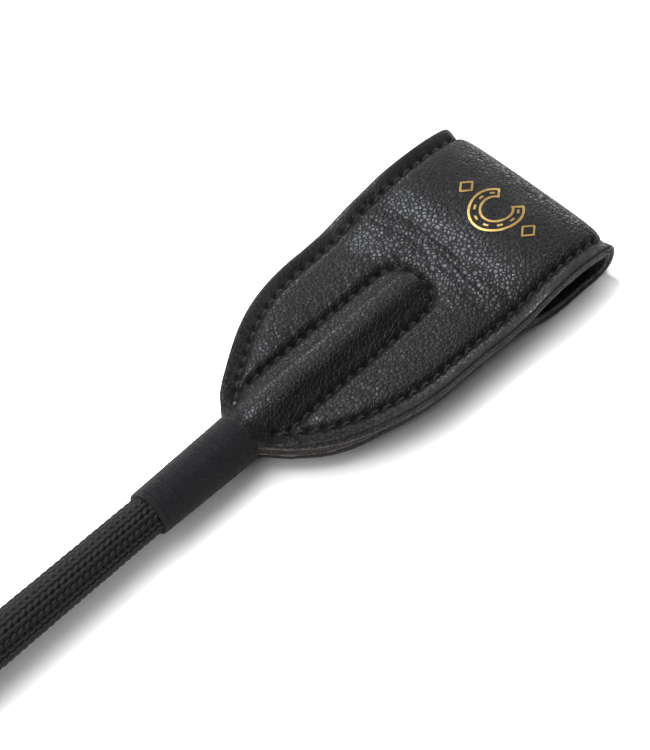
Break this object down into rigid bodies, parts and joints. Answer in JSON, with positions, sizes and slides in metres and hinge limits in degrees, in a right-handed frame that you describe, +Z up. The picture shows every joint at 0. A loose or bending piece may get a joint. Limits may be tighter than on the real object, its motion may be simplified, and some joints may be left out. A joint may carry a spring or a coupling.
{
  "type": "riding crop",
  "caption": "Riding crop with a stitched folded leather keeper on a braided shaft, thread whippings, padded leather grip, mushroom cap and wrist loop.",
  "frame": {"origin": "middle of the footprint, on the table that the crop lies on", "axes": "+X along the shaft from the wrist loop to the keeper, +Z up from the table, Y across the keeper"},
  "size_m": [0.8004, 0.057, 0.024],
  "materials": {
    "keeper_leather": "black pebbled coated leather, satin",
    "keeper_lining": "smooth black lining leather, matt",
    "interlining": "tan bonded fibre board, raw at its edges",
    "seam_thread": "black waxed sewing thread",
    "whipping_thread": "blue-black waxed whipping thread, close wound",
    "braid": "brown-black braided thread, lacquered",
    "fibreglass": "pale fibreglass rod",
    "black_plastic": "moulded black plastic, satin",
    "foam": "dark grip foam",
    "grip_leather": "black grained grip leather, satin",
    "strap_leather": "black strap leather, edges dyed",
    "gold_metal": "polished brass tone"
  },
  "bodies": {
    "shaft": {"core_rod": "fibreglass", "shaft_braid": "braid", "rod_tip_cap": "black_plastic", "keeper_leather_base": "keeper_leather", "keeper_interlining_base": "interlining", "keeper_lining_base": "keeper_lining", "keeper_seam_base": "seam_thread", "channel_seam": "seam_thread", "keeper_whipping": "whipping_thread", "grip_foam": "foam", "grip_leather": "grip_leather", "grip_seam": "seam_thread", "front_whipping": "whipping_thread", "rear_whipping": "whipping_thread", "butt_cap": "black_plastic", "strap_rivet": "gold_metal", "rivet_washer": "gold_metal", "strap_ends": "strap_leather"},
    "flap": {"keeper_leather_lower": "keeper_leather", "keeper_interlining_lower": "interlining", "keeper_lining_lower": "keeper_lining", "keeper_seam_lower": "seam_thread"},
    "upper_leaf": {"keeper_leather_upper": "keeper_leather", "keeper_interlining_upper": "interlining", "keeper_lining_upper": "keeper_lining", "keeper_seam_upper": "seam_thread"},
    "wrist_loop": {"wrist_strap": "strap_leather", "wrist_strap_lining": "keeper_lining", "wrist_strap_seam": "seam_thread"}
  },
  "joints": [
    {"name": "keeper_flex", "type": "hinge", "parent": "shaft", "child": "flap", "pos_m": [0.3705, 0, 0.006], "axis": [0, 1, 0], "range_deg": [-25, 25], "stiffness_Nm_per_rad": 1.2},
    {"name": "leaf_squeeze", "type": "hinge", "parent": "flap", "child": "upper_leaf", "pos_m": [0.377, 0, 0.0081], "axis": [0, 1, 0], "range_deg": [-4, 5], "stiffness_Nm_per_rad": 0.4},
    {"name": "loop_swing", "type": "hinge", "parent": "shaft", "child": "wrist_loop", "pos_m": [-0.254, 0, 0.01206], "axis": [-0.0395, 0, 0.9992], "range_deg": [-60, 60], "stiffness_Nm_per_rad": 0.15}
  ]
}
